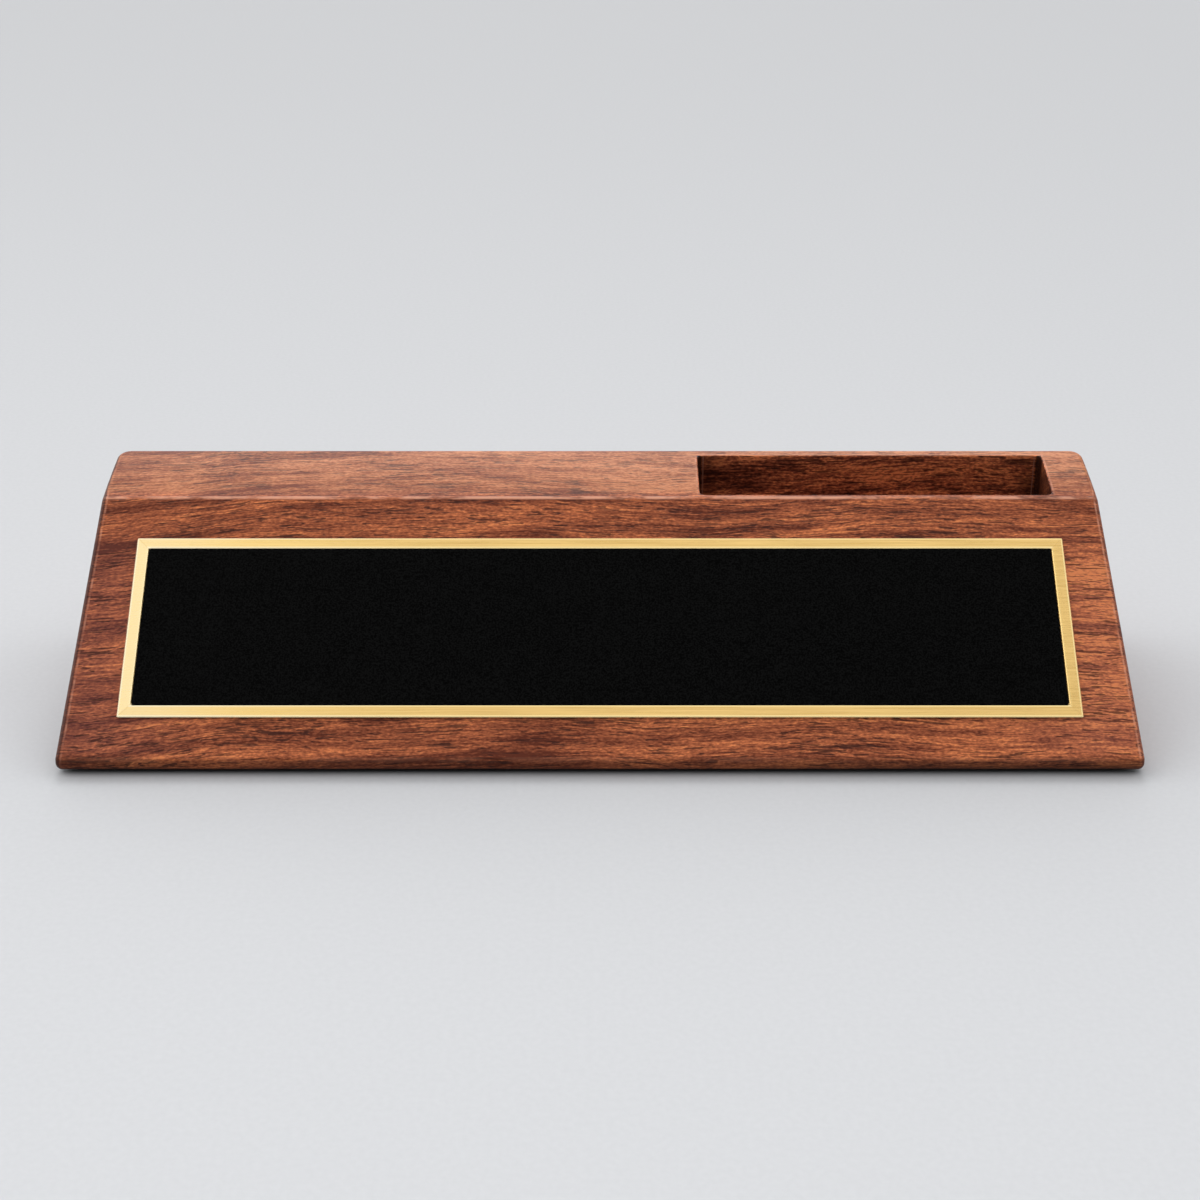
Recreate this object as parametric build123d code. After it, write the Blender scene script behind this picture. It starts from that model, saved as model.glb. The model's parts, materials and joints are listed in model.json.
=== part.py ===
"""Desk name plate: a solid wood wedge with a crowned top and a routed card pocket,
a bevelled brass plate with a blank black engraving sheet on its sloped front, and four thin feet.

The frame has +X to the right, +Y from the front to the back and +Z up. Its origin lies on the desk,
under the middle of the block. All lengths are in millimetres and all angles in degrees."""
from build123d import *
import math
import os

# Wood block: overall sizes and section
block_length = 266.7        # left to right along the base
block_depth = 81.6          # toe face to back face
ridge_height = 48.6         # base to the break between the front face and the top
toe_height = 3.6            # upright land at the foot of the front face
top_run = 23.1              # ridge to back face, measured level
crown_rise = 5.0            # how much higher the back shoulder is than the ridge
crown_bulge = 0.4           # how far the top bows above a straight line from ridge to shoulder
end_draft = 4.1             # how far each end leans inwards

# Wood block: eased edges
toe_round = 2.2             # lower edge of the toe
ridge_round = 2.4           # break between the front face and the top
back_corner_round = 3.5     # upright corners at the back
edge_round = 1.5            # every other edge

# Card pocket in the top, for business cards that stand on a long edge
card_width = 88.9
card_side_clearance = 1.6
pocket_depth = 25.4         # ridge to pocket floor
pocket_lip = 1.55           # ridge to the front wall
pocket_back_wall = 3.85     # back wall of the pocket to the back face
pocket_end_wall = 11.7      # right wall of the pocket to the end of the ridge
pocket_corner_radius = 1.5  # left by the routing cutter
rim_round = 0.4             # sanded rim of the pocket

# Brass plate on the front face, held by two strips of tape
plate_end_margin = 14.3     # plate to the end of the base, measured level
plate_lower_margin = 11.1   # toe crease to the plate, up the slope
plate_upper_margin = 12.25  # plate to the ridge, up the slope
plate_floor = 0.3           # brass left under the recess
plate_corner_radius = 0.4
border_width = 3.2          # brass border round the sheet
border_fall = 0.2           # outer edge of the border below its inner edge
border_bevel = 0.2          # bright bevels on both edges of the border
tape_width = 12.0
tape_thickness = 0.15
tape_inset = 4.0            # plate edge to tape

# Black engraving sheet, glued into the recess of the plate
sheet_thickness = 0.25
sheet_drop = 0.07           # top of the sheet below the face of the border
sheet_clearance = 0.1       # sheet to the wall of the recess
recess_corner_radius = 0.7
film_thickness = 0.08       # adhesive film under the sheet
film_inset = 1.0            # edge of the film inside the edge of the sheet

# Feet
foot_diameter = 12.7
foot_thickness = 0.8
foot_bevel = 0.2            # lower edge of a foot
foot_end_inset = 20.0       # end of the base to the middle of a foot
foot_edge_inset = 14.0      # toe face or back face to the middle of a foot

# One overrun serves every cut that has to pass through a surface, and one tolerance every pick of edges
overrun = 10.0
edge_tolerance = 0.001
sharp_angle = 5.0           # faces that meet at more than this make a sharp edge

# Section points, in Y and Z
base_z = foot_thickness
toe_y = -block_depth / 2
back_y = block_depth / 2
crease_z = base_z + toe_height
ridge_y = back_y - top_run
ridge_z = base_z + ridge_height
shoulder_z = ridge_z + crown_rise

# The front face runs from the toe crease up to the ridge
face_rise = ridge_z - crease_z
face_run = ridge_y - toe_y
face_length = math.hypot(face_run, face_rise)
face_slope = math.atan2(face_rise, face_run)
face_plane = Plane(
    origin=(0, toe_y, crease_z),
    x_dir=(1, 0, 0),
    z_dir=(0, -math.sin(face_slope), math.cos(face_slope)),
)

# Sizes that follow from the ones above
ridge_half_length = block_length / 2 - ridge_height * math.tan(math.radians(end_draft))
pocket_width = card_width + 2 * card_side_clearance
pocket_run = top_run - pocket_lip - pocket_back_wall
pocket_x = ridge_half_length - pocket_end_wall - pocket_width / 2
pocket_y = ridge_y + pocket_lip + pocket_run / 2
pocket_floor_z = ridge_z - pocket_depth
plate_width = block_length - 2 * plate_end_margin
plate_height = face_length - plate_lower_margin - plate_upper_margin
plate_centre = plate_lower_margin + plate_height / 2
recess_depth = film_thickness + sheet_thickness + sheet_drop
plate_thickness = plate_floor + recess_depth
plate_edge = plate_thickness - border_fall
recess_width = plate_width - 2 * border_width
recess_height = plate_height - 2 * border_width
sheet_width = recess_width - 2 * sheet_clearance
sheet_height = recess_height - 2 * sheet_clearance
recess_lift = tape_thickness + plate_floor


def block_section():
    """Side outline of the block: base, toe, sloped front, bowed top and upright back."""
    ridge = Vector(ridge_y, ridge_z)
    shoulder = Vector(back_y, shoulder_z)
    chord = shoulder - ridge
    outward = Vector(-chord.Y, chord.X).normalized()
    crown_top = ridge + chord / 2 + outward * crown_bulge
    lower_lines = Polyline(
        (back_y, base_z), (toe_y, base_z), (toe_y, crease_z), (ridge_y, ridge_z)
    )
    crown = ThreePointArc(ridge, crown_top, shoulder)
    back = Line(shoulder, (back_y, base_z))
    outline = make_face([lower_lines, crown, back])
    rounds = [
        ((toe_y, base_z), toe_round),
        ((ridge_y, ridge_z), ridge_round),
    ]
    for corner, radius in rounds:
        vertex = outline.vertices().sort_by_distance(corner)[0]
        outline = fillet(vertex, radius)
    return outline


def end_plane(side):
    """Drafted plane of one end, through the end of the base; side is -1 for left and 1 for right."""
    lean = math.radians(end_draft)
    return Plane(
        origin=(side * block_length / 2, 0, base_z),
        z_dir=(side * math.cos(lean), 0, math.sin(lean)),
    )


def sharp_edges(block):
    """Edges where two faces meet at an angle, so not those where a rounding runs out."""
    faces = block.faces()
    sharp = ShapeList()
    for edge in block.edges():
        middle = edge @ 0.5
        first, second = [face.normal_at(middle) for face in faces if edge in face.edges()]
        if first.get_angle(second) > sharp_angle:
            sharp.append(edge)
    return sharp


def plain_block():
    """The wedge before its pocket is cut: the section drawn out, drafted at both ends and eased."""
    block = extrude(Plane.YZ * block_section(), block_length / 2 + overrun, both=True)
    for side in (-1, 1):
        block = split(block, bisect_by=end_plane(side), keep=Keep.BOTTOM)
    back_edges = block.faces().sort_by(Axis.Y)[-1].edges().sort_by(Axis.X)
    block = fillet([back_edges[0], back_edges[-1]], back_corner_round)
    return fillet(sharp_edges(block), edge_round)


def wood_block():
    """The wedge with its card pocket, whose sanded rim follows the crown of the top."""
    pocket_top_z = shoulder_z + overrun
    outline = RectangleRounded(pocket_width, pocket_run, pocket_corner_radius)
    pocket = extrude(outline, pocket_top_z - pocket_floor_z)
    block = plain_block() - Pos(pocket_x, pocket_y, pocket_floor_z) * pocket
    rim = []
    for edge in block.edges():
        middle = edge.center()
        over_pocket_x = abs(middle.X - pocket_x) < pocket_width / 2 + edge_tolerance
        over_pocket_y = abs(middle.Y - pocket_y) < pocket_run / 2 + edge_tolerance
        if over_pocket_x and over_pocket_y and edge.bounding_box().min.Z > ridge_z:
            rim.append(edge)
    return fillet(rim, rim_round)


def on_face(outline, across, lift, thickness):
    """A slab on the front face: its middle this far up the slope, its underside at this lift."""
    return face_plane * Pos(0, across, lift) * extrude(outline, thickness)


def stacked(levels):
    """Solid through a stack of outlines, each given with its height."""
    return loft([Pos(0, 0, height) * outline for height, outline in levels], ruled=True)


def brass_plate():
    """One-piece plate: a recess for the sheet in a border that falls outwards and has bevelled edges."""

    def outer(growth):
        """Plate outline with its sides moved outwards."""
        return RectangleRounded(
            plate_width + 2 * growth, plate_height + 2 * growth, plate_corner_radius + growth
        )

    def inner(growth):
        """Recess outline with its sides moved outwards."""
        return RectangleRounded(
            recess_width + 2 * growth, recess_height + 2 * growth, recess_corner_radius + growth
        )

    body = [
        (0, outer(0)),
        (plate_edge - border_bevel, outer(0)),
        (plate_edge, outer(-border_bevel)),
        (plate_thickness, inner(0)),
    ]
    recess = [
        (plate_floor, inner(0)),
        (plate_thickness - border_bevel, inner(0)),
        (plate_thickness + overrun, inner(border_bevel + overrun)),
    ]
    plate = stacked(body) - stacked(recess)
    return face_plane * Pos(0, plate_centre, tape_thickness) * plate


def engraving_sheet():
    """Black two-colour sheet, left blank."""
    corner_radius = recess_corner_radius - sheet_clearance
    outline = RectangleRounded(sheet_width, sheet_height, corner_radius)
    return on_face(outline, plate_centre, recess_lift + film_thickness, sheet_thickness)


def sheet_adhesive():
    """Film that holds the sheet in its recess."""
    outline = Rectangle(sheet_width - 2 * film_inset, sheet_height - 2 * film_inset)
    return on_face(outline, plate_centre, recess_lift, film_thickness)


def plate_tape(side):
    """Strip of tape along one long edge of the plate; side is -1 for lower and 1 for upper."""
    outline = Rectangle(plate_width - 2 * tape_inset, tape_width)
    offset = plate_height / 2 - tape_inset - tape_width / 2
    return on_face(outline, plate_centre + side * offset, 0, tape_thickness)


def foot(side_x, side_y):
    """Thin round foot under one corner of the base."""
    disc = extrude(Circle(foot_diameter / 2), foot_thickness)
    lower_edge = disc.edges().sort_by(Axis.Z)[0]
    disc = chamfer(lower_edge, foot_bevel)
    x = side_x * (block_length / 2 - foot_end_inset)
    y = side_y * (block_depth / 2 - foot_edge_inset)
    return Pos(x, y, 0) * disc


pieces = {
    "wood_block": wood_block(),
    "brass_plate": brass_plate(),
    "engraving_sheet": engraving_sheet(),
    "sheet_adhesive": sheet_adhesive(),
    "plate_tape_lower": plate_tape(-1),
    "plate_tape_upper": plate_tape(1),
}
for row, side_y in (("front", -1), ("back", 1)):
    for hand, side_x in (("left", -1), ("right", 1)):
        pieces[f"foot_{row}_{hand}"] = foot(side_x, side_y)

os.makedirs("parts", exist_ok=True)
for name, piece in pieces.items():
    piece.label = name
    export_step(piece, os.path.join("parts", name + ".step"))
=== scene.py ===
import json
import math

import bpy
import numpy as np
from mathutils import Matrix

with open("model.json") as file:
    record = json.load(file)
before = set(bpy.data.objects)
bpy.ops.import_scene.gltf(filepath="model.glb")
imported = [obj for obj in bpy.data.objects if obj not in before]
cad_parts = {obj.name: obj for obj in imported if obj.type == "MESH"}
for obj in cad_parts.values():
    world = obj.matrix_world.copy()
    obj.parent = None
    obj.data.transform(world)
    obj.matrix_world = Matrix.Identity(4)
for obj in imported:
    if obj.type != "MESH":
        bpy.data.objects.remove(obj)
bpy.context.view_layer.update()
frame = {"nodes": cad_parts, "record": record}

MM = 0.001

# Camera, from the perspective of the block and the plate in the photograph
IMAGE_SIZE = 1200
FOCAL_PIXELS = 2025.5
SENSOR_WIDTH = 36.0         # in millimetres, as lenses are
CAMERA_PITCH = math.radians(24.97)
CAMERA_AHEAD = 0.43106      # in front of the toe
CAMERA_HEIGHT = 0.24806

# Block: directions midway between two of its faces point at the arris between them
RIDGE_TILT = math.radians(26)
CREASE_TILT = math.radians(64)
END_LEAN = math.tan(math.radians(4.1))  # how far the ends lean inwards over their height

# Trunk: its heart runs along X, in front of the block and below the desk, so that the rings cross
# the sloped front at right angles
HEART_Y = -0.120
HEART_Z = -0.055
HEART_REACH = 0.14          # heart to the middle of the block

# Walnut from its darkest streaks to its palest: front, ends and back, then the top, which is tanner and
# paler, the paleness partly painted light, and the pocket, which is darker as painted shade
FRONT_TONES = [
    (0.04, (0.133, 0.027, 0.011)),
    (0.20, (0.213, 0.049, 0.020)),
    (0.38, (0.313, 0.081, 0.033)),
    (0.50, (0.406, 0.109, 0.044)),
    (0.62, (0.520, 0.143, 0.056)),
    (0.80, (0.705, 0.208, 0.076)),
    (0.96, (0.930, 0.302, 0.104)),
]
TOP_TONES = [
    (0.23, (0.185, 0.036, 0.012)),
    (0.44, (0.333, 0.089, 0.030)),
    (0.605, (0.473, 0.153, 0.057)),
    (0.82, (0.616, 0.229, 0.095)),
]
POCKET_SHADED_TONES = [
    (0.05, (0.055, 0.0115, 0.0075)),
    (0.23, (0.104, 0.0230, 0.0112)),
    (0.427, (0.234, 0.0600, 0.0285)),
    (0.566, (0.383, 0.1000, 0.0450)),
    (0.67, (0.516, 0.1430, 0.0600)),
    (0.763, (0.678, 0.2070, 0.0810)),
    (0.95, (0.960, 0.3000, 0.1150)),
]
TONE_RANGE = (1.19, 2.00)           # tones at both ends of the front's and the top's colours
POCKET_TONE_RANGE = (0.90, 2.30)    # tones at both ends of the pocket's colours
GLOSS_TONE_RANGE = (1.20, 2.00)     # tones of the dullest and the glossiest wood
TOP_TONE = 1.70                     # tone that the top is drawn toward, a paler one, partly as painted light
TOP_CALM = 0.28                     # how far it is drawn
POCKET_TONE = 1.58                  # tone that the pocket's figure is spread about
POCKET_FORCE = 0.7                  # how much stronger that figure gets
DARK_STRETCH_X = -45 * MM           # middle of a darker stretch
PORE_CROWDING = 0.30                # how much more easily pores come up where they crowd
WOOD_HIGHLIGHT_SHARE = 0.88                    # how far the painted highlight lines turn tan
CORNER_SHAPE = (3.0, 1.4)           # the painted shade in a corner of the pocket reaches further along the end wall

# Colours laid on the walnut: pores and end grain, and painted sheen, highlights, shade and contact shadow
PAINTED_END_SHEEN = (0.250, 0.110, 0.150, 1)
PORE_BROWN = (0.036, 0.010, 0.007, 1)
HIGHLIGHT_TAN = (0.800, 0.370, 0.240, 1)
POCKET_HIGHLIGHT_TAN = (0.420, 0.190, 0.130, 1)
END_GRAIN_AND_SHADE_BROWN = (0.060, 0.016, 0.009, 1)
BACK_PAINTED_SHADE = (0.060, 0.017, 0.010, 1)
PAINTED_SHADE_DARK = (0.012, 0.004, 0.003, 1)
CONTACT_SHADOW_BLACK = (0.004, 0.002, 0.002, 1)

# Brass
BRASS_TONES = [(0.30, (0.665, 0.436, 0.147)), (0.70, (0.975, 0.665, 0.246))]
# Painted reflection at the left end of the brass, in these two colours
BRASS_REFLECTION_BRIGHT = (1.000, 0.715, 0.275, 1)
BRASS_REFLECTION_PALE = (0.985, 0.800, 0.465, 1)
# Painted shade along the mitres
MITRE_SHADE_BROWN = (0.700, 0.440, 0.150, 1)
# Painted highlight colours of the lines along the border's edges
HIGHLIGHT_GOLD = (1.000, 0.800, 0.400, 1)
HIGHLIGHT_PALE = (1.000, 0.930, 0.690, 1)
BRASS_HIGHLIGHT_SHARE = 0.80                 # how far the painted highlight lines take those two colours
HIGHLIGHT_ROUGHNESS = -0.08            # how much their roughness differs

# Other finishes
SHEET_TONES = [(0.43, (0.0, 0.0, 0.0)), (0.57, (0.0055, 0.0057, 0.0057))]
DUST_GREY = (0.016, 0.016, 0.016, 1)
FILM_TONES = [(0.3, (0.50, 0.47, 0.40)), (0.7, (0.66, 0.64, 0.57))]
TAPE_TONES = [(0.3, (0.66, 0.65, 0.61)), (0.7, (0.80, 0.79, 0.76))]
RUBBER_TONES = [(0.3, (0.012, 0.012, 0.012)), (0.7, (0.030, 0.029, 0.028))]
PAPER_TONES = [(0.3, (0.562, 0.573, 0.596)), (0.7, (0.582, 0.593, 0.616))]

# Light: azimuths are counted from +X toward +Y, so 90 degrees is straight behind. A glow's reach is
# the angle from its middle to its edge, then to its core.
OVERHEAD_PLACE = (-0.30, -0.36, 0.82)
OVERHEAD_SIZE = (1.60, 1.05)
OVERHEAD_POWER = 3.40
BACK_AZIMUTH = math.radians(90)
BACK_LIFT = math.radians(37)
BACK_GLOW = 4.7
BACK_REACH = (math.radians(26), math.radians(9))
LEFT_AZIMUTH = math.radians(149)
LEFT_GLOW = 1.85
RIGHT_AZIMUTH = math.radians(22)
RIGHT_GLOW = 1.1
SIDE_LIFT = math.radians(28)
SIDE_REACH = (math.radians(45), math.radians(12))
SKY_LIFT = math.radians(53)
SKY_REACH = (math.radians(120), math.radians(45.57))
SKY_GLOW = 0.37
FRONT_GLOW = 0.01
GLOW_WHITE = (1.0, 0.995, 0.985, 1)
BACKDROP = (0.60, 0.605, 0.62, 1)

# Floor
FLOOR_RADIUS = 6.0
FLOOR_RINGS = 24
FLOOR_SPOKES = 96


class Finish:
    """One procedural material, with short names for the nodes that it is wired from."""

    def __init__(self, name):
        self.material = bpy.data.materials.new(name)
        self.material.use_nodes = True
        self.nodes = self.material.node_tree.nodes
        self.links = self.material.node_tree.links
        self.shader = self.nodes["Principled BSDF"]
        self.place = self.nodes.new("ShaderNodeTexCoord").outputs["Object"]

    def feed(self, socket, value):
        """Links a socket to another node's output, or sets its plain value."""
        if isinstance(value, bpy.types.NodeSocket):
            self.links.new(value, socket)
        elif value is not None:
            socket.default_value = value

    def stretch(self, vector, scale):
        """Coordinates scaled along the three axes."""
        node = self.nodes.new("ShaderNodeMapping")
        self.feed(node.inputs["Vector"], vector)
        node.inputs["Scale"].default_value = scale
        return node.outputs["Vector"]

    def lay_flat(self, slope, middle):
        """Coordinates on the sloped face: X along it, Y up the slope from the middle, Z out of it."""
        node = self.nodes.new("ShaderNodeMapping")
        self.feed(node.inputs["Vector"], self.place)
        node.inputs["Rotation"].default_value = (-slope, 0, 0)
        node.inputs["Location"].default_value = (0, -middle, 0)
        return node.outputs["Vector"]

    def noise_node(self, vector, waves, detail=2.0, roughness=0.5):
        """Fractal noise with this many waves a metre along each axis."""
        node = self.nodes.new("ShaderNodeTexNoise")
        self.feed(node.inputs["Vector"], self.stretch(vector, waves))
        node.inputs["Scale"].default_value = 1.0
        node.inputs["Detail"].default_value = detail
        node.inputs["Roughness"].default_value = roughness
        return node

    def noise(self, vector, waves, **fineness):
        """Noise from 0 to 1, with this many waves a metre along each axis, and its detail and roughness."""
        return self.noise_node(vector, waves, **fineness).outputs["Fac"]

    def push(self, vector, amount, direction):
        """Coordinates moved by an amount in one direction."""
        node = self.nodes.new("ShaderNodeVectorMath")
        node.operation = "MULTIPLY_ADD"
        self.feed(node.inputs[0], amount)
        node.inputs[1].default_value = direction
        self.feed(node.inputs[2], vector)
        return node.outputs["Vector"]

    def wander(self, vector, waves, reach):
        """Coordinates pushed about by noise, up to this reach in metres along each axis."""
        return self.push(vector, self.noise_node(vector, waves).outputs["Color"], reach)

    def joined(self, x, y, z):
        """Coordinates from three values."""
        node = self.nodes.new("ShaderNodeCombineXYZ")
        for socket, value in zip(node.inputs, (x, y, z)):
            self.feed(socket, value)
        return node.outputs["Vector"]

    def axes(self, vector):
        """The X, Y and Z of coordinates."""
        node = self.nodes.new("ShaderNodeSeparateXYZ")
        self.feed(node.inputs["Vector"], vector)
        return node.outputs["X"], node.outputs["Y"], node.outputs["Z"]

    def calc(self, operation, first, second=None, third=None):
        """One Math node."""
        node = self.nodes.new("ShaderNodeMath")
        node.operation = operation
        for socket, value in zip(node.inputs, (first, second, third)):
            self.feed(socket, value)
        return node.outputs["Value"]

    def times(self, first, second):
        """Product of two values."""
        return self.calc("MULTIPLY", first, second)

    def minus(self, first, second):
        """First value less the second."""
        return self.calc("SUBTRACT", first, second)

    def plus_product(self, base, first, second):
        """A value plus the product of two others."""
        return self.calc("MULTIPLY_ADD", first, second, base)

    def absolute(self, value):
        """A value without its sign."""
        return self.calc("ABSOLUTE", value)

    def larger(self, first, second):
        """The larger of two values."""
        return self.calc("MAXIMUM", first, second)

    def smaller(self, first, second):
        """The smaller of two values."""
        return self.calc("MINIMUM", first, second)

    def weighted(self, *layers):
        """Sum of values, each given with its weight."""
        total = 0.0
        for value, weight in layers:
            total = self.plus_product(total, value, weight)
        return total

    def reach_from(self, y, z, point_y, point_z):
        """Distance from a line along X through a point of the section."""
        across = self.minus(y, point_y)
        up = self.minus(z, point_z)
        return self.calc("SQRT", self.plus_product(self.times(up, up), across, across))

    def spread(self, value, start, end, at_start=0.0, at_end=1.0, smooth=True):
        """A value taken from one range to another, clamped and, unless told not to, eased at both ends."""
        node = self.nodes.new("ShaderNodeMapRange")
        node.interpolation_type = "SMOOTHSTEP" if smooth else "LINEAR"
        self.feed(node.inputs["Value"], value)
        node.inputs["From Min"].default_value = start
        node.inputs["From Max"].default_value = end
        node.inputs["To Min"].default_value = at_start
        node.inputs["To Max"].default_value = at_end
        return node.outputs["Result"]

    def rise(self, value, start, end, strength=1.0):
        """0 up to the start, then up to a strength at the end."""
        return self.spread(value, start, end, 0.0, strength)

    def fade(self, value, start, end, strength=1.0):
        """A strength up to the start, then down to 0 at the end."""
        return self.spread(value, start, end, strength, 0.0)

    def stripe(self, value, start, full, dim, end, strength=1.0):
        """0 up to the start, a strength where the value is between full and dim, and 0 from the end on."""
        return self.times(self.rise(value, start, full), self.fade(value, dim, end, strength))

    def blend(self, mask, at_zero, at_one):
        """One value where a mask is 0 and another where it is 1."""
        return self.spread(mask, 0.0, 1.0, at_zero, at_one)

    def ramp(self, value, stops):
        """A colour ramp through (position, colour) stops."""
        node = self.nodes.new("ShaderNodeValToRGB")
        elements = node.color_ramp.elements
        while len(elements) < len(stops):
            elements.new(0.5)
        for element, (position, colour) in zip(elements, stops):
            element.position = position
            element.color = (*colour, 1.0)
        self.feed(node.inputs["Fac"], value)
        return node.outputs["Color"]

    def mix(self, amount, first, second):
        """Two colours mixed by an amount."""
        node = self.nodes.new("ShaderNodeMixRGB")
        self.feed(node.inputs["Fac"], amount)
        self.feed(node.inputs["Color1"], first)
        self.feed(node.inputs["Color2"], second)
        return node.outputs["Color"]

    def bump(self, height, distance, strength=1.0):
        """Relief of this distance in metres, sent to the shader."""
        node = self.nodes.new("ShaderNodeBump")
        node.inputs["Strength"].default_value = strength
        node.inputs["Distance"].default_value = distance
        self.feed(node.inputs["Height"], height)
        self.links.new(node.outputs["Normal"], self.shader.inputs["Normal"])

    def set(self, **values):
        """Sets or links inputs of the shader, with underscores for spaces in their names."""
        for name, value in values.items():
            self.feed(self.shader.inputs[name.replace("_", " ")], value)


def corner_points(node):
    """Corner points of a CAD node's mesh, one row each."""
    mesh = frame["nodes"][node].data
    flat = np.empty(3 * len(mesh.vertices), dtype=np.float32)
    mesh.vertices.foreach_get("co", flat)
    return flat.reshape(-1, 3)


def arris(points, tilt):
    """Section point furthest out in the direction that leans forward by a tilt from upright."""
    lean = np.array([0.0, -math.sin(tilt), math.cos(tilt)])
    return [float(value) for value in points[np.argmax(points @ lean)][1:]]


def pocket_floor(points):
    """Least and greatest corner of the pocket's floor, which is the level with the most corner points in
    the middle half of the block's height."""
    heights, counts = np.unique(np.round(points[:, 2], 5), return_counts=True)
    base, top = heights[0], heights[-1]
    quarter = (top - base) / 4
    between = (heights > base + quarter) & (heights < top - quarter)
    floor_z = heights[between][np.argmax(counts[between])]
    corners = points[np.abs(points[:, 2] - floor_z) < 0.1 * MM]
    return corners.min(axis=0).tolist(), corners.max(axis=0).tolist()


def face_slope(plate):
    """Angle of the block's sloped front, which the plate's points lie along."""
    return math.atan(np.polyfit(plate[:, 1], plate[:, 2], 1)[0])


class Block:
    """Where the block's arrises, ends, base, toe, back and pocket floor lie, read from its mesh."""

    def __init__(self, points):
        self.ridge_y, self.ridge_z = arris(points, RIDGE_TILT)
        self.crease_y, self.crease_z = arris(points, CREASE_TILT)
        self.half_length = float(np.abs(points[:, 0]).max())
        self.toe_y = float(points[:, 1].min())
        self.back_y = float(points[:, 1].max())
        self.base_z = float(points[:, 2].min())
        self.floor_low, self.floor_high = pocket_floor(points)


class Walnut(Finish):
    """Lacquered solid walnut: fibres along X, soft dark bands, short pores and dark end grain, which is
    partly painted shade, with painted highlights along the arrises, painted shade on the back, the toe and in
    the pocket, and a painted contact shadow along the lowest edge."""

    def __init__(self, block, slope):
        super().__init__("walnut")
        self.block = block
        self.x, self.y, self.z = self.axes(self.place)
        self.above_base = self.minus(self.z, block.base_z)
        self.above_crease = self.minus(self.z, block.crease_z)
        self.above_ridge = self.minus(self.z, block.ridge_z)
        self.from_back = self.minus(block.back_y, self.y)
        self.from_end = self.depth_from_end()
        self.beyond = self.beyond_pocket()
        self.inside = self.inside_pocket()
        self.top = self.top_face()
        # 1 on the front and 0 toward the back, then 1 toward the right end and 0 toward the left
        self.front = self.fade(self.y, start=-4 * MM, end=16 * MM)
        self.right = self.rise(self.x, start=-60 * MM, end=60 * MM)
        # The arris of an end lies nearer to the end on the top and at the right
        self.from_arris = self.weighted((self.from_end, 1.0), (self.top, 0.42 * MM), (self.right, 0.32 * MM))
        grain = self.grain(slope)
        tone = self.cut(self.figure(grain))
        # Painted highlight lines along the arrises
        lines = self.painted_highlight_lines()
        pores = self.pores(grain, lines)
        colour = self.stained_and_shaded(self.coloured(tone, pores, lines))
        self.set(
            Base_Color=self.pocket_shaded(colour),
            Roughness=self.spread(tone, *GLOSS_TONE_RANGE, at_start=0.46, at_end=0.36, smooth=False),
            Specular_IOR_Level=0.13,
        )
        self.bump(self.weighted((tone, 0.3), (pores, -0.8)), distance=0.05 * MM)

    def depth_from_end(self):
        """How far a point lies inside the nearer drafted end."""
        end_x = self.minus(self.block.half_length, self.times(self.z, END_LEAN))
        return self.minus(end_x, self.absolute(self.x))

    def beyond_pocket(self):
        """How far a point lies outside the pocket's walls, measured level."""
        beyond = []
        for value, low, high in zip((self.x, self.y), self.block.floor_low, self.block.floor_high):
            from_middle = self.absolute(self.minus(value, (low + high) / 2))
            beyond.append(self.minus(from_middle, (high - low) / 2))
        return self.larger(*beyond)

    def inside_pocket(self):
        """1 on the walls and floor of the pocket, and 0 elsewhere."""
        above_floor = self.minus(self.z, self.block.floor_low[2])
        within_walls = self.fade(self.beyond, start=0.1 * MM, end=0.4 * MM)
        return self.times(within_walls, self.rise(above_floor, start=-1.0 * MM, end=-0.5 * MM))

    def top_face(self):
        """1 on the crowned top, and 0 on the front, the back and in the pocket."""
        above_front = self.rise(self.above_ridge, start=0.0, end=1.0 * MM)
        before_back = self.rise(self.from_back, start=0.2 * MM, end=1.2 * MM)
        return self.times(self.times(above_front, before_back), self.minus(1.0, self.inside))

    def grain(self, slope):
        """Coordinates that wander as the fibres do, and climb the slope toward the left end."""
        climb = self.fade(self.x, start=-133 * MM, end=-80 * MM, strength=5.5 * MM)
        grain = self.push(self.place, climb, (0, math.cos(slope), math.sin(slope)))
        grain = self.wander(grain, waves=(9, 20, 20), reach=(0, 12 * MM, 12 * MM))
        return self.wander(grain, waves=(75, 170, 170), reach=(0, 1.4 * MM, 1.4 * MM))

    def rings(self, grain):
        """Coordinates along the trunk, outwards across its growth rings and round them."""
        x, y, z = self.axes(grain)
        outward = self.reach_from(y, z, HEART_Y, HEART_Z)
        turn = self.calc("ARCTAN2", self.minus(z, HEART_Z), self.minus(y, HEART_Y))
        return self.joined(x, outward, self.times(turn, HEART_REACH))

    def figure(self, grain):
        """Tone of the wood, from broad clouds through growth rings down to single fibres: darker left of
        the middle, at the left end and low on the front, and paler toward the right end."""
        rings = self.rings(grain)
        cloud = self.noise(grain, waves=(13, 48, 48))
        streak = self.noise(rings, waves=(20, 420, 45), detail=4.0, roughness=0.62)
        band = self.noise(rings, waves=(24, 240, 30), roughness=0.55)
        fibre = self.noise(grain, waves=(105, 2100, 2100), roughness=0.6)
        speck = self.noise(grain, waves=(950, 2400, 2400), detail=1.0)
        from_dark = self.absolute(self.minus(self.x, DARK_STRETCH_X))
        return self.weighted(
            (cloud, 0.55),
            (streak, 0.95),
            (self.rise(band, start=0.50, end=0.66), -0.24),
            (fibre, 0.95),
            (speck, 0.85),
            (self.fade(from_dark, start=0.0, end=55 * MM), -0.05),
            (self.fade(self.x, start=-130 * MM, end=-104 * MM), -0.11),
            (self.fade(self.y, start=-34 * MM, end=-20 * MM), -0.05),
            (self.right_paling(), 0.265),
        )

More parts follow.
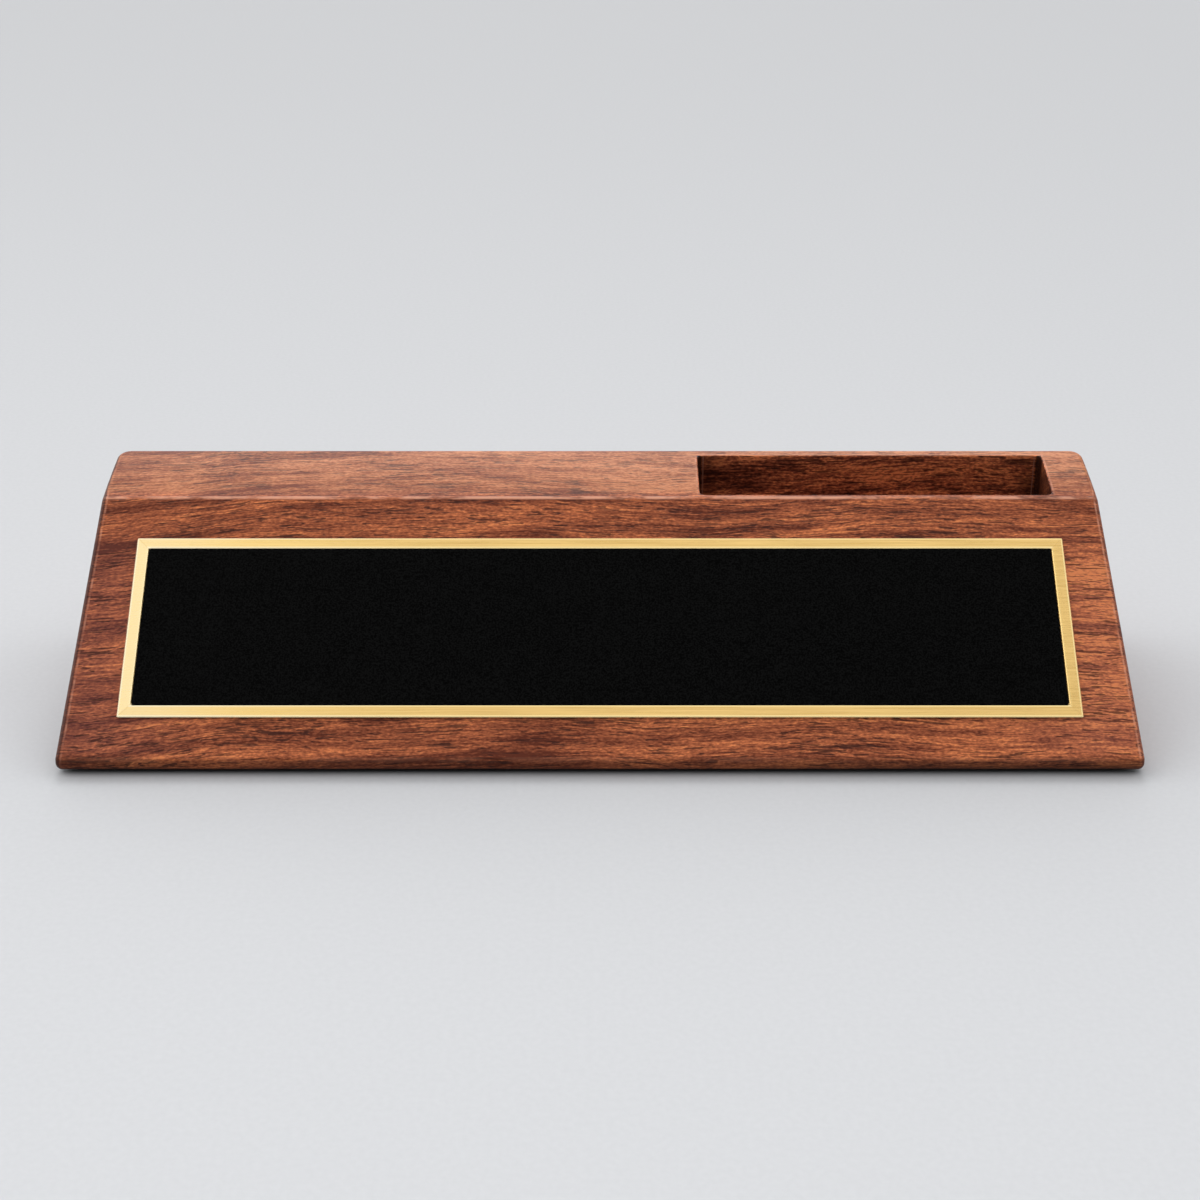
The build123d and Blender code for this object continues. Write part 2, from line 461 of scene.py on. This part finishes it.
    # Paler toward the right end of the front
    def right_paling(self):
        """1 at the right end of the front, less low on it, and 0 on the end itself and elsewhere."""
        toward_right = self.rise(self.x, start=65 * MM, end=140 * MM)
        up_front = self.spread(self.y, start=-38 * MM, end=-12 * MM, at_start=0.45)
        off_end = self.rise(self.from_end, start=0.2 * MM, end=1.0 * MM)
        return self.times(self.times(toward_right, self.front), self.times(up_front, off_end))

    def cut(self, tone):
        """Tone by how the saw and the cutter met the rings: the top lies along them, so it is calmer than the
        front, and it is drawn paler, partly as painted light, and the walls of the pocket are rougher, so
        their figure is stronger."""
        calmer = self.times(self.minus(TOP_TONE, tone), TOP_CALM)
        # The top is drawn paler, partly as painted light
        tone = self.plus_product(tone, self.top, calmer)
        stronger = self.times(self.minus(tone, POCKET_TONE), POCKET_FORCE)
        return self.plus_product(tone, self.inside, stronger)

    def painted_highlight_lines(self):
        """Painted highlights along arrises, broken in places: the ridge, the pocket's rim, both ends and the
        toe's crease.
        """
        block = self.block
        from_ridge = self.reach_from(self.y, self.z, block.ridge_y, block.ridge_z)
        from_crease = self.reach_from(self.y, self.z, block.crease_y, block.crease_z)
        ridge = self.fade(from_ridge, start=0.3 * MM, end=0.7 * MM)
        crease = self.fade(from_crease, start=0.3 * MM, end=0.9 * MM, strength=0.14)
        rim = self.stripe(
            self.beyond, start=0.1 * MM, full=0.3 * MM, dim=0.5 * MM, end=0.9 * MM, strength=0.42
        )
        end = self.stripe(self.from_arris, start=1.05 * MM, full=1.25 * MM, dim=1.45 * MM, end=1.75 * MM)
        end = self.times(end, self.blend(self.right, at_zero=0.50, at_one=0.72))
        end = self.times(end, self.blend(self.top, at_zero=1.0, at_one=0.45))
        lines = self.larger(self.larger(ridge, self.times(rim, self.top)), self.larger(end, crease))
        line_breaks = self.noise(self.place, waves=(110, 300, 300), detail=3.0, roughness=0.6)
        return self.times(lines, self.spread(line_breaks, start=0.38, end=0.60, at_start=0.16))

    def pores(self, grain, lines):
        """Short dark dashes, thicker on the ground in some places than in others and left off the painted
        highlight lines on the arrises.
        """
        crowd = self.noise(grain, waves=(30, 120, 120))
        long_dash = self.noise(grain, waves=(85, 1900, 1900), detail=1.0)
        short_dash = self.noise(grain, waves=(230, 2100, 2100), detail=1.0)
        dash = self.plus_product(self.larger(long_dash, short_dash), crowd, PORE_CROWDING)
        return self.times(self.rise(dash, start=0.775, end=0.81), self.minus(1.0, lines))

    def coloured(self, tone, pores, lines):
        """Colour of the tone on the front, the top and in the pocket, whose colours are darker as painted
        shade, with a painted mauve-grey sheen toward both ends of the front, pores, which are fainter on the
        top, and painted highlight lines."""
        shade = self.spread(tone, *TONE_RANGE, smooth=False)
        colour = self.mix(self.top, self.ramp(shade, FRONT_TONES), self.ramp(shade, TOP_TONES))
        # The pocket's darker colours are painted shade
        pocket_shade = self.spread(tone, *POCKET_TONE_RANGE, smooth=False)
        colour = self.mix(self.inside, colour, self.ramp(pocket_shade, POCKET_SHADED_TONES))
        # Painted mauve-grey sheen near both ends of the front
        sheen_near_end = self.rise(self.absolute(self.x), start=90 * MM, end=128 * MM, strength=0.12)
        above_toe = self.rise(self.above_crease, start=0.0, end=2.0 * MM)
        cast = self.times(sheen_near_end, self.times(self.front, above_toe))
        colour = self.mix(cast, colour, PAINTED_END_SHEEN)
        pore_depth = self.blend(self.top, at_zero=0.74, at_one=0.62)
        colour = self.mix(self.times(pores, pore_depth), colour, PORE_BROWN)
        # Painted highlights along the arrises
        return self.mix(self.times(lines, WOOD_HIGHLIGHT_SHARE), colour, HIGHLIGHT_TAN)

    def stained_and_shaded(self, colour):
        """End grain darker, partly from the lacquer it drinks and partly as painted shade, most at the left;
        painted shade on the back and the toe, and a painted contact shadow that makes the lowest edge all
        round nearly black."""
        # End grain darker, partly real and partly painted shade
        end_grain_and_shade = self.fade(self.from_arris, start=0.85 * MM, end=1.15 * MM)
        end_grain_and_shade = self.times(end_grain_and_shade, self.blend(self.right, at_zero=0.78, at_one=0.34))
        colour = self.mix(end_grain_and_shade, colour, END_GRAIN_AND_SHADE_BROWN)
        # Painted shade on the back face
        back = self.fade(self.from_back, start=0.1 * MM, end=0.4 * MM, strength=0.48)
        colour = self.mix(back, colour, BACK_PAINTED_SHADE)
        colour = self.toe_shaded(colour)
        # Painted contact shadow along the lowest edge all round
        contact_shadow = self.fade(self.above_base, start=0.2 * MM, end=1.2 * MM, strength=0.97)
        return self.mix(self.times(contact_shadow, self.margin()), colour, CONTACT_SHADOW_BLACK)

    def toe_shaded(self, colour):
        """Painted shade on the toe, more toward both ends, and most of all low and to the right."""
        on_toe = self.fade(self.minus(self.y, self.block.crease_y), start=1.0 * MM, end=4.0 * MM)
        under_crease = self.fade(self.above_crease, start=-0.4 * MM, end=0.4 * MM)
        toward_ends = self.spread(
            self.absolute(self.x), start=15 * MM, end=80 * MM, at_start=0.26, at_end=0.38
        )
        toe_shade = self.times(self.times(on_toe, under_crease), toward_ends)
        # Painted shade on the toe
        colour = self.mix(toe_shade, colour, PAINTED_SHADE_DARK)
        toe_height = self.block.crease_z - self.block.base_z
        low = self.fade(self.above_base, start=0.8 * MM, end=toe_height, strength=0.60)
        toward_right = self.rise(self.x, start=-20 * MM, end=110 * MM)
        return self.mix(self.times(self.times(on_toe, low), toward_right), colour, PAINTED_SHADE_DARK)

    def margin(self):
        """1 near the outline of the base, and 0 well inside it."""
        from_toe = self.minus(self.y, self.block.toe_y)
        from_outline = self.smaller(self.from_end, self.smaller(from_toe, self.from_back))
        return self.fade(from_outline, start=3.0 * MM, end=6.0 * MM)

    def pocket_shaded(self, colour):
        """Painted shade toward the pocket's ends and most in its back corners, and a painted highlight line
        up the back wall near each end."""
        from_left = self.minus(self.x, self.block.floor_low[0])
        from_right = self.minus(self.block.floor_high[0], self.x)
        from_wall = self.smaller(from_left, from_right)
        from_back_wall = self.minus(self.block.floor_high[1], self.y)
        under_rim = self.times(self.inside, self.fade(self.beyond, start=0.02 * MM, end=0.12 * MM))

        left_end = self.fade(from_left, start=0.4 * MM, end=13 * MM, strength=0.50)
        right_wall = self.fade(from_right, start=0.4 * MM, end=1.6 * MM, strength=0.68)
        right_end = self.fade(from_right, start=0.4 * MM, end=8.0 * MM)
        deep = self.fade(self.above_ridge, start=-4.5 * MM, end=2.0 * MM, strength=0.80)
        right_end = self.larger(right_wall, self.times(right_end, deep))
        across = self.times(from_wall, CORNER_SHAPE[0])
        along = self.times(from_back_wall, CORNER_SHAPE[1])
        from_corner = self.reach_from(across, along, 0.0, 0.0)
        corner = self.fade(from_corner, start=2.8 * MM, end=4.6 * MM, strength=0.92)
        gloom = self.larger(corner, self.larger(left_end, right_end))
        # Painted shade in the pocket
        colour = self.mix(self.times(gloom, under_rim), colour, PAINTED_SHADE_DARK)

        # Painted highlight line up the back wall
        line = self.stripe(
            from_wall, start=1.35 * MM, full=1.55 * MM, dim=1.65 * MM, end=1.90 * MM, strength=0.65
        )
        line = self.times(line, self.fade(from_back_wall, start=0.3 * MM, end=0.8 * MM))
        return self.mix(self.times(line, under_rim), colour, POCKET_HIGHLIGHT_TAN)


def brushed_brass(plate, sheet, slope):
    """Brass brushed along X, with painted highlight lines along both edges of its border, painted shade
    along the mitres of its corners, and a painted reflection that brightens and pales the left end."""
    brass = Finish("brushed_brass")
    brush = brass.noise(brass.place, waves=(40, 2000, 2000), detail=4.0, roughness=0.65)
    cloud = brass.noise(brass.place, waves=(30, 110, 110))
    colour = brass.ramp(brass.weighted((cloud, 0.2), (brush, 0.8)), BRASS_TONES)

    # Distances from the sides of the plate, from its nearest edge and from the inner edge of its border
    up_slope = plate @ np.array([0.0, math.cos(slope), math.sin(slope)])
    lowest, highest = float(up_slope.min()), float(up_slope.max())
    half_width = float(plate[:, 0].max())
    border = half_width - float(sheet[:, 0].max())
    x, y, _ = brass.axes(brass.lay_flat(slope, (lowest + highest) / 2))
    from_left = brass.minus(x, -half_width)
    from_side = brass.minus(half_width, brass.absolute(x))
    from_long = brass.minus((highest - lowest) / 2, brass.absolute(y))
    from_edge = brass.smaller(from_side, from_long)
    from_inner_edge = brass.minus(border, from_edge)

    # Painted highlight lines, of which the inner one is faint on both short sides
    past_mitre = brass.minus(from_long, from_side)
    short_side = brass.rise(past_mitre, start=-0.1 * MM, end=0.1 * MM)
    outer_line = brass.fade(from_edge, start=0.42 * MM, end=0.58 * MM)
    inner_line = brass.fade(from_inner_edge, start=0.54 * MM, end=0.72 * MM)
    inner_line = brass.times(inner_line, brass.blend(short_side, at_zero=1.0, at_one=0.25))
    edge_highlight = brass.larger(outer_line, inner_line)

    # Painted reflection: the border grows brighter toward its left end and pale at the end itself; painted
    # shade shows its mitres
    # Painted reflection toward the left end
    brighter = brass.fade(from_left, start=0.0, end=95 * MM, strength=0.80)
    colour = brass.mix(brighter, colour, BRASS_REFLECTION_BRIGHT)
    paler = brass.fade(from_left, start=0.0, end=34 * MM, strength=0.72)
    paler = brass.times(paler, brass.blend(short_side, at_zero=0.75, at_one=1.0))
    colour = brass.mix(paler, colour, BRASS_REFLECTION_PALE)
    # Painted shade along the mitres
    mitre = brass.fade(brass.absolute(past_mitre), start=0.06 * MM, end=0.26 * MM, strength=0.35)
    colour = brass.mix(mitre, colour, MITRE_SHADE_BROWN)

    # Painted highlight colours
    highlight_colour = brass.mix(brighter, HIGHLIGHT_GOLD, HIGHLIGHT_PALE)
    brushed = brass.spread(brush, start=0.2, end=0.8, at_start=0.24, at_end=0.32, smooth=False)
    brass.set(
        Base_Color=brass.mix(brass.times(edge_highlight, BRASS_HIGHLIGHT_SHARE), colour, highlight_colour),
        Metallic=1.0,
        Roughness=brass.plus_product(brushed, edge_highlight, HIGHLIGHT_ROUGHNESS),
    )
    brass.bump(brush, distance=0.01 * MM, strength=0.5)
    return brass.material


def black_sheet():
    """Matte black cap of the engraving sheet: a fine cast grain with a few paler specks of dust."""
    black = Finish("black_sheet")
    cast = black.noise(black.place, waves=(2600, 2600, 2600), detail=1.0, roughness=0.6)
    cloud = black.noise(black.place, waves=(160, 160, 160))
    grain = black.weighted((cloud, 0.07), (cast, 0.93))
    dust = black.rise(black.noise(black.place, waves=(1900, 1900, 1900)), start=0.74, end=0.80)
    black.set(
        Base_Color=black.mix(dust, black.ramp(grain, SHEET_TONES), DUST_GREY),
        Roughness=black.spread(grain, start=0.3, end=0.7, at_start=0.55, at_end=0.68, smooth=False),
        Specular_IOR_Level=0.02,
    )
    black.bump(grain, distance=0.02 * MM, strength=0.4)
    return black.material


def mottled(name, tones, waves, dullness, relief, **fineness):
    """A finish in which one even noise makes the tones, the dullness and the relief."""
    finish = Finish(name)
    mottle = finish.noise(finish.place, waves=(waves, waves, waves), **fineness)
    least, most = dullness
    finish.set(
        Base_Color=finish.ramp(mottle, tones),
        Roughness=finish.spread(mottle, start=0.3, end=0.7, at_start=least, at_end=most, smooth=False),
    )
    finish.bump(mottle, distance=relief)
    return finish.material


def adhesive_film():
    """Cloudy transfer adhesive."""
    return mottled(
        "adhesive_film", FILM_TONES, waves=260, dullness=(0.45, 0.65), relief=0.02 * MM, detail=3.0
    )


def mounting_tape():
    """White foam tape with fine cells."""
    return mottled("mounting_tape", TAPE_TONES, waves=1600, dullness=(0.7, 0.9), relief=0.04 * MM)


def foot_rubber():
    """Dull black rubber with a moulded grain."""
    return mottled(
        "foot_rubber",
        RUBBER_TONES,
        waves=1400,
        dullness=(0.6, 0.85),
        relief=0.05 * MM,
        detail=3.0,
        roughness=0.6,
    )


def floor_paper():
    """Pale grey seamless paper."""
    paper = Finish("floor_paper")
    tooth = paper.noise(paper.place, waves=(700, 700, 700), detail=3.0)
    paper.set(Base_Color=paper.ramp(tooth, PAPER_TONES), Roughness=0.9, Specular_IOR_Level=0.2)
    return paper.material


def dress(node, material):
    """Gives all of a CAD node its finish."""
    slots = frame["nodes"][node].material_slots
    if not slots:
        frame["nodes"][node].data.materials.append(material)
    for slot in slots:
        slot.material = material


def floor_disc():
    """Level disc at Z = 0: a point at share r of the radius and angle a lies at (r cos a, r sin a). The
    shares are squares of even steps, so the rings lie closer together toward the middle."""
    share = np.linspace(0.0, 1.0, FLOOR_RINGS + 1)[1:] ** 2
    angle = np.linspace(0.0, 2 * np.pi, FLOOR_SPOKES, endpoint=False)
    x = FLOOR_RADIUS * np.outer(share, np.cos(angle)).ravel()
    y = FLOOR_RADIUS * np.outer(share, np.sin(angle)).ravel()
    points = np.column_stack([x, y, np.zeros_like(x)])
    ring, spoke = np.meshgrid(np.arange(FLOOR_RINGS - 1), np.arange(FLOOR_SPOKES), indexing="ij")
    after = (spoke + 1) % FLOOR_SPOKES
    quads = np.stack(
        [
            ring * FLOOR_SPOKES + spoke,
            (ring + 1) * FLOOR_SPOKES + spoke,
            (ring + 1) * FLOOR_SPOKES + after,
            ring * FLOOR_SPOKES + after,
        ],
        axis=-1,
    ).reshape(-1, 4)
    faces = [list(range(FLOOR_SPOKES))] + quads.tolist()
    mesh = bpy.data.meshes.new("floor")
    mesh.from_pydata(points.tolist(), [], faces)
    disc = bpy.data.objects.new("floor", mesh)
    bpy.context.scene.collection.objects.link(disc)
    mesh.materials.append(floor_paper())


def surroundings():
    """Studio walls: pale above, dark low in front, with broad soft glows behind and at both sides.
    The camera itself sees a plain pale backdrop."""
    world = bpy.data.worlds.new("studio")
    world.use_nodes = True
    nodes = world.node_tree.nodes
    links = world.node_tree.links
    direction = nodes.new("ShaderNodeTexCoord").outputs["Generated"]

    def lobe(azimuth, lift, reach, faint, bright):
        """Brightness that goes from faint at the edge of a glow to bright at its core."""
        toward = nodes.new("ShaderNodeVectorMath")
        toward.operation = "DOT_PRODUCT"
        links.new(direction, toward.inputs[0])
        level = math.cos(lift)
        middle = (level * math.cos(azimuth), level * math.sin(azimuth), math.sin(lift))
        toward.inputs[1].default_value = middle
        edge, core = reach
        eased = nodes.new("ShaderNodeMapRange")
        eased.interpolation_type = "SMOOTHSTEP"
        links.new(toward.outputs["Value"], eased.inputs["Value"])
        eased.inputs["From Min"].default_value = math.cos(edge)
        eased.inputs["From Max"].default_value = math.cos(core)
        eased.inputs["To Min"].default_value = faint
        eased.inputs["To Max"].default_value = bright
        return eased.outputs["Result"]

    def add(first, second):
        """Sum of two brightnesses."""
        node = nodes.new("ShaderNodeMath")
        links.new(first, node.inputs[0])
        links.new(second, node.inputs[1])
        return node.outputs["Value"]

    sky = lobe(BACK_AZIMUTH, SKY_LIFT, SKY_REACH, FRONT_GLOW, SKY_GLOW)
    back = lobe(BACK_AZIMUTH, BACK_LIFT, BACK_REACH, 0.0, BACK_GLOW)
    left = lobe(LEFT_AZIMUTH, SIDE_LIFT, SIDE_REACH, 0.0, LEFT_GLOW)
    right = lobe(RIGHT_AZIMUTH, SIDE_LIFT, SIDE_REACH, 0.0, RIGHT_GLOW)
    glow = nodes["Background"]
    glow.inputs["Color"].default_value = GLOW_WHITE
    links.new(add(add(sky, back), add(left, right)), glow.inputs["Strength"])
    backdrop = nodes.new("ShaderNodeBackground")
    backdrop.inputs["Color"].default_value = BACKDROP
    seen = nodes.new("ShaderNodeMixShader")
    links.new(nodes.new("ShaderNodeLightPath").outputs["Is Camera Ray"], seen.inputs["Fac"])
    links.new(glow.outputs["Background"], seen.inputs[1])
    links.new(backdrop.outputs["Background"], seen.inputs[2])
    links.new(seen.outputs["Shader"], nodes["World Output"].inputs["Surface"])
    bpy.context.scene.world = world


def overhead():
    """Large soft box above the object, a little to the left, facing straight down."""
    light = bpy.data.lights.new("overhead", "AREA")
    light.shape = "RECTANGLE"
    light.size, light.size_y = OVERHEAD_SIZE
    light.energy = OVERHEAD_POWER
    lamp = bpy.data.objects.new("overhead", light)
    lamp.location = OVERHEAD_PLACE
    bpy.context.scene.collection.objects.link(lamp)


def camera(toe_y):
    """Camera at the photograph's place, looking along +Y and down."""
    lens = bpy.data.cameras.new("camera")
    lens.sensor_width = SENSOR_WIDTH
    lens.lens = SENSOR_WIDTH * FOCAL_PIXELS / IMAGE_SIZE
    eye = bpy.data.objects.new("camera", lens)
    eye.location = (0, toe_y - CAMERA_AHEAD, CAMERA_HEIGHT)
    eye.rotation_euler = (math.pi / 2 - CAMERA_PITCH, 0, 0)
    bpy.context.scene.collection.objects.link(eye)
    bpy.context.scene.camera = eye


block = Block(corner_points("wood_block"))
plate = corner_points("brass_plate")
sheet = corner_points("engraving_sheet")
slope = face_slope(plate)
finishes = {
    "walnut": Walnut(block, slope).material,
    "brushed_brass": brushed_brass(plate, sheet, slope),
    "black_sheet": black_sheet(),
    "adhesive_film": adhesive_film(),
    "mounting_tape": mounting_tape(),
    "foot_rubber": foot_rubber(),
}
for piece in frame["record"]["subparts"]:
    dress(piece["node"], finishes[piece["material_slot"]])

floor_disc()
surroundings()
overhead()
camera(block.toe_y)
bpy.context.scene.view_settings.view_transform = "Standard"
